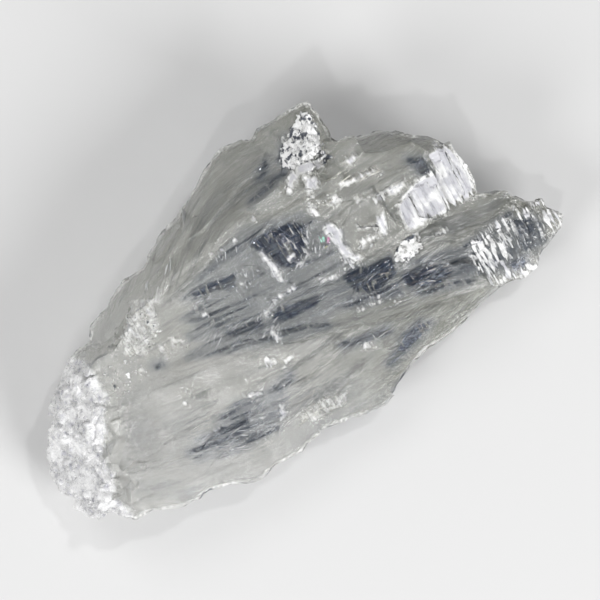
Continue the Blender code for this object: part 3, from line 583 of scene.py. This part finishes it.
class Nodes:
    """Short calls that add and link the nodes of one material."""

    def __init__(self, material):
        material.use_nodes = True
        self.tree = material.node_tree
        self.shader = self.tree.nodes["Principled BSDF"]
        self.output = self.tree.nodes["Material Output"]

    def add(self, kind, **values):
        node = self.tree.nodes.new("ShaderNode" + kind)
        for name, value in values.items():
            setattr(node, name, value)
        return node

    def put(self, value, socket):
        if isinstance(value, bpy.types.NodeSocket):
            self.tree.links.new(value, socket)
        else:
            socket.default_value = value

    def finish(self, name, value):
        self.put(value, self.shader.inputs[name])

    def attribute(self, name):
        return self.add("Attribute", attribute_name=name).outputs

    def math(self, operation, *values, clamp=False):
        node = self.add("Math", operation=operation, use_clamp=clamp)
        for value, socket in zip(values, node.inputs):
            self.put(value, socket)
        return node.outputs[0]

    def times(self, first, second):
        return self.math("MULTIPLY", first, second)

    def plus(self, first, second):
        return self.math("ADD", first, second)

    def minus(self, first, second):
        return self.math("SUBTRACT", first, second)

    def mix(self, share, first, second):
        """Colours: the first where share is 0, the second where it is 1."""
        node = self.add("Mix", data_type="RGBA")
        self.put(share, node.inputs["Factor"])
        self.put(first, node.inputs["A"])
        self.put(second, node.inputs["B"])
        return node.outputs["Result"]

    def choose(self, share, first, second):
        """As mix, for vectors: their sockets are found by number."""
        node = self.add("Mix", data_type="VECTOR")
        self.put(share, node.inputs["Factor"])
        self.put(first, node.inputs[4])
        self.put(second, node.inputs[5])
        return node.outputs[1]

    def blend(self, share, first, second):
        """As mix, for numbers."""
        node = self.add("Mix", data_type="FLOAT")
        self.put(share, node.inputs[0])
        self.put(first, node.inputs[2])
        self.put(second, node.inputs[3])
        return node.outputs[0]

    def ramp(self, value, low, high):
        """0 at low and beyond it, 1 at high, smooth between them."""
        node = self.add("MapRange", interpolation_type="SMOOTHSTEP")
        self.put(value, node.inputs["Value"])
        self.put(low, node.inputs["From Min"])
        self.put(high, node.inputs["From Max"])
        return node.outputs["Result"]

    def stretch(self, vector, factors):
        node = self.add("Mapping")
        self.put(vector, node.inputs["Vector"])
        node.inputs["Scale"].default_value = factors
        return node.outputs["Vector"]

    def noise(self, vector, scale, detail=2.0, roughness=0.5):
        node = self.add("TexNoise")
        self.put(vector, node.inputs["Vector"])
        for name, value in (("Scale", scale), ("Detail", detail), ("Roughness", roughness)):
            node.inputs[name].default_value = value
        return node.outputs["Fac"]

    def cells(self, vector, scale, feature="F1"):
        node = self.add("TexVoronoi", feature=feature)
        self.put(vector, node.inputs["Vector"])
        node.inputs["Scale"].default_value = scale
        return node.outputs

    def hairs(self, vector, scale, width):
        """Thin lines: 1 on them, 0 beside them."""
        level = self.noise(vector, scale, detail=1.0)
        away = self.math("ABSOLUTE", self.minus(level, 0.5))
        return self.minus(1.0, self.ramp(away, 0.0, width))

    def bump(self, height, distance, normal=None):
        node = self.add("Bump")
        self.put(height, node.inputs["Height"])
        node.inputs["Distance"].default_value = distance
        node.inputs["Strength"].default_value = 1.0
        if normal is not None:
            self.put(normal, node.inputs["Normal"])
        return node.outputs["Normal"]


def patterns(n):
    """The noises that petalite is drawn with; a noise's scale is its waves a millimetre."""
    object_place = n.add("TexCoord").outputs["Object"]
    place = n.stretch(object_place, MILLIMETRES)
    across = n.stretch(object_place, DOWNWARD)
    axes = n.add("SeparateXYZ")
    n.put(place, axes.inputs[0])
    low = n.ramp(n.attribute("ridge")["Fac"], SEAM, -SEAM)
    behind = n.ramp(n.attribute("crest")["Fac"], -SEAM, SEAM)
    fan, flank, slab = (n.attribute(name)["Vector"] for name in ("fan", "flank", "slab"))
    along = n.choose(behind, n.choose(low, fan, slab), flank)
    lumps = n.noise(place, 0.42)
    return SimpleNamespace(
        place=place, across=across, along=along, x=axes.outputs["X"], y=axes.outputs["Y"],
        low=low, lumps=lumps, snow=n.ramp(lumps, 0.44, 0.62),
        bands=n.noise(along, 0.8, detail=3.0),
        streaks=n.noise(along, 3.0, detail=4.0, roughness=0.6),
        fine=n.noise(along, 6.5, detail=3.0, roughness=0.7),
        flutes=n.noise(across, 1.7, detail=3.0),
        clouds=n.noise(place, 0.22),
        specks=n.noise(place, 3.5),
    )


def shares(n, p):
    """How clear, gritty and frosty the surface is, where it has a painted glint, and how its rim is
    worn and has a painted highlight; with ragged borders.
    """
    window, glint, crushed, frost, rim = (
        n.attribute(name)["Fac"] for name in ("window", "glint", "crushed", "frost", "rim"))
    streaky = n.times(n.minus(p.streaks, 0.5), n.blend(n.ramp(window, 0.4, 1.1), 3.2, 1.4))
    ragged = n.noise(p.place, 1.7, detail=2.5, roughness=0.55)
    ragged = n.times(n.minus(ragged, 0.5), 2.6)

    # On the shoulder's end and the lobe, a weak fracture's painted glint is broken into strips.
    strips = n.minus(n.ramp(n.noise(p.across, 2.5, detail=1.5), 0.40, 0.58), 0.5)
    strength = n.blend(n.ramp(glint, 0.7, 1.1), 1.7, 0.4)
    strength = n.blend(n.ramp(p.x, 18.0, 20.0), 0.35, strength)
    torn = n.times(ragged, n.blend(n.ramp(glint, 0.6, 1.1), 0.8, 0.4))
    torn = n.plus(n.times(strips, strength), torn)

    # The rim's painted highlight and wear, patchy along the bands.
    wear_and_sheen = n.times(n.ramp(p.specks, 0.40, 0.62), n.ramp(p.bands, 0.40, 0.60))
    return SimpleNamespace(
        window=window, glint=glint,
        near=n.ramp(n.math("MAXIMUM", crushed, glint), -1.5, 0.0),
        clear=n.ramp(n.plus(window, streaky), 0.0, 0.5),
        shine=n.ramp(n.plus(glint, torn), -0.35, 1.0),
        grit=n.ramp(n.plus(crushed, n.times(ragged, 1.5)), 0.0, 0.3),
        frosty=n.ramp(n.plus(frost, n.times(ragged, 0.4)), -0.25, 0.45),
        edge=n.times(n.ramp(rim, 0.15, 1.0), n.plus(n.times(wear_and_sheen, 0.6), 0.35)),
    )


def brightness(n, p):
    """How pale the milky stone is: less so to the right, behind and on the slab's right end."""
    tone = n.minus(n.plus(n.times(p.x, -TONE_FALL[0]), TONE), n.times(p.y, TONE_FALL[1]))
    start, end, fall = SLAB_FALL
    tone = n.minus(tone, n.times(p.low, n.times(n.ramp(p.x, start, end), fall)))
    return n.math("ADD", tone, n.times(n.minus(p.clouds, 0.5), CLOUDS), clamp=True)


def milky_stone(n, p, s, tone):
    """Olive to pale stone, with dim bands, fine bright streaks, mottles near fractures and the
    windows' painted shade.
    """
    calm = n.blend(n.ramp(tone, 0.65, 1.0), 1.0, 0.25)
    colour = n.mix(tone, OLIVE, PALE)
    colour = n.mix(n.times(n.ramp(p.bands, 0.47, 0.32), n.times(calm, 0.6)), colour, DIM_BAND)
    colour = n.mix(n.times(n.ramp(p.fine, 0.51, 0.68), 0.68), colour, FINE_STREAK)
    colour = n.mix(n.times(n.ramp(p.streaks, 0.46, 0.32), n.times(calm, 0.5)), colour, DIM_STREAK)
    mottle = n.times(n.ramp(n.noise(p.place, 1.3), 0.46, 0.66), s.near)
    colour = n.mix(n.times(mottle, 0.8), colour, MOTTLE)
    # Painted shade: a window's darkness shows through the milky stone over it.
    veiled_shade = n.plus(s.window, n.times(n.minus(p.streaks, 0.5), 3.0))
    return n.mix(n.times(n.ramp(veiled_shade, -1.9, 0.9), 0.55), colour, VEILED_WINDOW_SHADE)


def window_shade(n, p, s):
    """Painted shade: the darkness seen through a window, lighter in a weak one."""
    colour = n.mix(n.ramp(p.flutes, 0.4, 0.6), INK, INDIGO)
    colour = n.mix(n.ramp(s.window, 0.1, 1.0), SLATE, colour)
    lit = n.times(n.ramp(p.fine, 0.50, 0.66), n.blend(n.ramp(s.window, 0.6, 1.1), 0.75, 0.45))
    return n.mix(lit, colour, STEEL)


def needles(n, p, s, tone):
    """Thin bright lines: along the cleavage in places, and across the windows."""
    straight = n.stretch(p.along, (0.4, 1, 1))
    hairs = n.times(n.hairs(straight, 1.8, 0.014), n.ramp(p.clouds, 0.44, 0.62))
    hairs = n.times(hairs, n.minus(1.0, n.times(tone, 0.8)))
    crossing = n.times(n.hairs(p.across, 0.75, 0.022), n.ramp(p.bands, 0.44, 0.54))
    crossing = n.times(crossing, n.plus(s.clear, 0.12))
    return n.times(n.math("MAXIMUM", hairs, crossing), 0.85)


def glinting(n, p, s):
    """Painted glint on the fluted fractures: white, with painted shade grey in the flutes, lilac in
    places.
    """
    colour = n.mix(n.ramp(p.flutes, 0.50, 0.34), GLINT_WHITE, GLINT_FLUTE_SHADE)
    lilac = n.times(n.ramp(p.lumps, 0.64, 0.46), n.ramp(s.glint, 0.7, 1.1))
    return n.mix(n.times(lilac, 0.85), colour, GLINT_LILAC)


def gritty(n, p):
    """White and dark grains, in clumps."""
    grain = n.add("SeparateColor")
    n.put(n.cells(p.place, 2.6)["Color"], grain.inputs[0])
    clump = n.times(n.minus(n.noise(p.place, 0.8), 0.45), 3.2)
    whiter = n.ramp(n.plus(grain.outputs["Red"], clump), 0.22, 0.56)
    return n.mix(whiter, DARK_GRAIN, WHITE_GRAIN)


def icy(n, p):
    """Frost: white ridges round lilac hollows of painted shade, with snowy lumps."""
    # Painted shade in the hollows between the white ridges.
    shaded_pits = n.ramp(n.cells(p.place, 1.1, "DISTANCE_TO_EDGE")["Distance"], 0.08, 0.45)
    return n.mix(n.times(p.snow, 0.75), n.mix(shaded_pits, ICE, ICE_HOLLOW_SHADE), SNOW)


def petalite():
    """Clear petalite with milky cleavage, clear windows with painted shade, fractures with painted
    glints, and frost.
    """
    material = bpy.data.materials.new("petalite")
    n = Nodes(material)
    p = patterns(n)
    s = shares(n, p)
    tone = brightness(n, p)

    # Painted shade in the clear windows.
    colour = n.mix(s.clear, milky_stone(n, p, s, tone), window_shade(n, p, s))
    colour = n.mix(needles(n, p, s, tone), colour, NEEDLE)
    # Painted glints on the fractures.
    colour = n.mix(s.shine, colour, glinting(n, p, s))
    colour = n.mix(s.grit, colour, gritty(n, p))
    colour = n.mix(s.frosty, colour, icy(n, p))
    # Painted highlight with wear along the rim.
    n.finish("Base Color", n.mix(s.edge, colour, WORN_AND_LIT_EDGE))

    rough = n.blend(s.clear, ROUGHNESS["milky"], ROUGHNESS["clear"])
    rough = n.blend(s.shine, rough, ROUGHNESS["broken"])
    rough = n.blend(s.frosty, rough, ROUGHNESS["frosted"])
    n.finish("Roughness", n.times(rough, n.plus(0.6, p.specks)))

    through = n.blend(s.clear, CLEARNESS["milky"], CLEARNESS["clear"])
    through = n.blend(n.math("MAXIMUM", s.shine, s.grit), through, CLEARNESS["broken"])
    through = n.blend(s.frosty, through, n.blend(p.snow, CLEARNESS["ice"], CLEARNESS["snow"]))
    n.finish("Transmission Weight", n.blend(s.edge, through, CLEARNESS["edge"]))

    normal = n.bump(p.streaks, STREAK_BUMP * MM)
    normal = n.bump(n.times(p.flutes, n.plus(s.shine, s.grit)), FLUTE_BUMP * MM, normal)
    normal = n.bump(n.times(p.specks, n.plus(s.frosty, 0.2)), SPECK_BUMP * MM, normal)
    n.finish("Normal", normal)
    n.finish("IOR", IOR)
    absorb = n.add("VolumeAbsorption")
    absorb.inputs["Color"].default_value = INSIDE
    absorb.inputs["Density"].default_value = DENSITY
    n.tree.links.new(absorb.outputs["Volume"], n.output.inputs["Volume"])
    return material


def crystal():
    """The crystal: one piece, in place of the CAD solid."""
    piece = bpy.data.objects.new("crystal", crystal_mesh())
    bpy.context.scene.collection.objects.link(piece)
    piece.data.materials.append(petalite())
    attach(piece, "root")
    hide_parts("petalite_crystal")
    return piece


def glitter():
    """White material of the small flakes and chips; each has its own shade, and painted shade
    darkens the hollows of its bumps.
    """
    material = bpy.data.materials.new("glitter")
    n = Nodes(material)
    place = n.stretch(n.add("TexCoord").outputs["Object"], MILLIMETRES)
    specks = n.noise(place, 5.0)
    # Painted shade in the hollows of the bumps.
    hollow = n.times(n.ramp(specks, 0.52, 0.38), 0.5)
    n.finish("Base Color", n.mix(hollow, n.attribute("shade")["Color"], CHIP_HOLLOW_SHADE))
    n.finish("Roughness", n.blend(specks, 0.05, 0.35))
    n.finish("Transmission Weight", n.blend(specks, 0.10, 0.50))
    n.finish("Normal", n.bump(specks, 0.05 * MM))
    n.finish("IOR", IOR)
    return material


def flake(shape, spot, heading, lean, size, rng):
    """A thin six-sided fracture that stands in the crystal, its top just above the surface."""
    length, tall, thick = size
    angles = np.sort(rng.uniform(0, 2 * math.pi, 3)).tolist()
    angles = sorted(angles + [(angle + math.pi) % (2 * math.pi) for angle in angles])
    outline = [(math.cos(a) * length / 2, math.sin(a) * tall / 2) for a in angles]
    top = max(z for _, z in outline)
    turn = Matrix.Rotation(math.radians(heading), 4, "Z")
    turn = turn @ Matrix.Rotation(math.radians(lean), 4, "X")
    rings = []
    for side in (-0.5, 0.5):
        ring = [turn @ Vector((x, side * thick, z - top + PROUD)) * MM + spot for x, z in outline]
        rings.append([shape.verts.new(point) for point in ring])
    shape.faces.new(rings[0])
    shape.faces.new(rings[1][::-1])
    for i in range(len(outline)):
        j = (i + 1) % len(outline)
        shape.faces.new([rings[0][j], rings[0][i], rings[1][i], rings[1][j]])


def chip(shape, spot, size, rng):
    """A small angular grain, half sunk in the surface."""
    turn = Matrix.Rotation(rng.uniform(0, 6.28), 4, Vector(rng.normal(size=3)))
    ends = [(1, 0, 0), (-1, 0, 0), (0, 1, 0), (0, -1, 0), (0, 0, 1), (0, 0, -1)]
    verts = []
    for end in ends:
        place = turn @ Vector(end) * size * rng.uniform(0.6, 1.4) * MM + spot
        verts.append(shape.verts.new(place))
    for a in (0, 1):
        for b in (2, 3):
            for c in (4, 5):
                corners = [verts[a], verts[b], verts[c]]
                shape.faces.new(corners if (a + b + c) % 2 == 0 else corners[::-1])


def strewn(tree, area, rng):
    """A random place in a field (x, y, width, height), on the crystal's top."""
    x, y, width, height = area
    x += rng.uniform(-0.5, 0.5) * width
    y += rng.uniform(-0.5, 0.5) * height
    return tree.ray_cast(Vector((x, y, SKY)) * MM, DOWN)[0]


def fractures(surface):
    """Small flakes and chips, at and just under the surface: one piece of the crystal."""
    shape = bmesh.new()
    shape.from_mesh(surface)
    tree = BVHTree.FromBMesh(shape)
    shape.clear()
    rng = np.random.default_rng(5)
    paint = []  # the shade of each face

    def painted(shade, low, high):
        tint = np.clip(np.array([*shade, 1.0]) * rng.uniform(low, high), 0, 1)
        paint.extend([tint] * (len(shape.faces) - len(paint)))

    for *area, count, heading, size, shade in FLAKES:
        for _ in range(count):
            spot = strewn(tree, area, rng)
            turn = heading + rng.normal() * FLAKE_TURN
            lean = rng.uniform(-FLAKE_LEAN, FLAKE_LEAN)
            flake(shape, spot, turn, lean, np.array(size) * rng.uniform(0.6, 1.3), rng)
            painted(shade, 0.7, 1.05)
    for *area, count, size in CHIPS:
        for _ in range(count):
            spot = strewn(tree, area, rng)
            chip(shape, spot, size * rng.uniform(0.5, 1.3), rng)
            painted(CHIP_SHADE, 0.75, 1.0)
    mesh = bpy.data.meshes.new("fractures")
    shape.to_mesh(mesh)
    shape.free()
    shades = mesh.attributes.new("shade", "FLOAT_COLOR", "FACE")
    shades.data.foreach_set("color", np.array(paint).ravel())
    mesh.materials.append(glitter())
    piece = bpy.data.objects.new("fractures", mesh)
    bpy.context.scene.collection.objects.link(piece)
    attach(piece, "root")
    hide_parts("petalite_crystal")


def floor():
    """A plain pale floor, just under the crystal."""
    shape = bmesh.new()
    bmesh.ops.create_grid(shape, x_segments=1, y_segments=1, size=2.0)
    mesh = bpy.data.meshes.new("floor")
    shape.to_mesh(mesh)
    shape.free()
    sheet = bpy.data.objects.new("floor", mesh)
    sheet.location.z = -0.08 * MM
    bpy.context.scene.collection.objects.link(sheet)
    material = bpy.data.materials.new("floor")
    n = Nodes(material)
    n.finish("Base Color", FLOOR_GREY)
    n.finish("Roughness", 0.9)
    mesh.materials.append(material)
    sheet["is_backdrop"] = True


def camera():
    """Straight above, turned so that the crystal lies as it does in the photograph."""
    lens = bpy.data.cameras.new("camera")
    lens.lens = LENS
    lens.sensor_width = SENSOR
    lens.clip_start = 0.01
    holder = bpy.data.objects.new("camera", lens)
    height = OUTLINE_HEIGHT + VIEW_WIDTH * LENS / SENSOR
    holder.location = Vector((*VIEW_CENTRE, height)) * MM
    holder.rotation_euler.z = math.radians(VIEW_TURN)
    bpy.context.scene.collection.objects.link(holder)
    bpy.context.scene.camera = holder


def lamp(name, azimuth, elevation, distance, size, power):
    """A soft light that looks at the crystal; azimuth 0 is -Y in the CAD's frame."""
    light = bpy.data.lights.new(name, "AREA")
    light.shape = "DISK"
    light.size = size
    light.energy = power
    holder = bpy.data.objects.new(name, light)
    turn, rise = math.radians(azimuth), math.radians(elevation)
    flat = math.cos(rise)
    away = Vector((math.sin(turn) * flat, -math.cos(turn) * flat, math.sin(rise)))
    holder.location = away * distance + Vector((0, 0, OUTLINE_HEIGHT * MM))
    holder.rotation_euler = away.to_track_quat("Z", "Y").to_euler()
    bpy.context.scene.collection.objects.link(holder)


def lights():
    """A key light, one from the left, a fill, two small sparkle lights and a white room."""
    for values in LAMPS:
        lamp(*values)
    world = bpy.data.worlds.new("room")
    world.use_nodes = True
    background = world.node_tree.nodes["Background"]
    background.inputs["Color"].default_value = (1.0, 1.0, 1.0, 1)
    background.inputs["Strength"].default_value = ROOM
    bpy.context.scene.world = world


camera()
floor()
lights()
fractures(crystal().data)
bpy.context.scene.view_settings.view_transform = "Standard"
bpy.context.scene.cycles.max_bounces = 16
bpy.context.scene.cycles.transmission_bounces = 12

sizes = {"cad": CAD_BOX, "visual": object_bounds()}
sizes = {name: [list(corner) for corner in box] for name, box in sizes.items()}
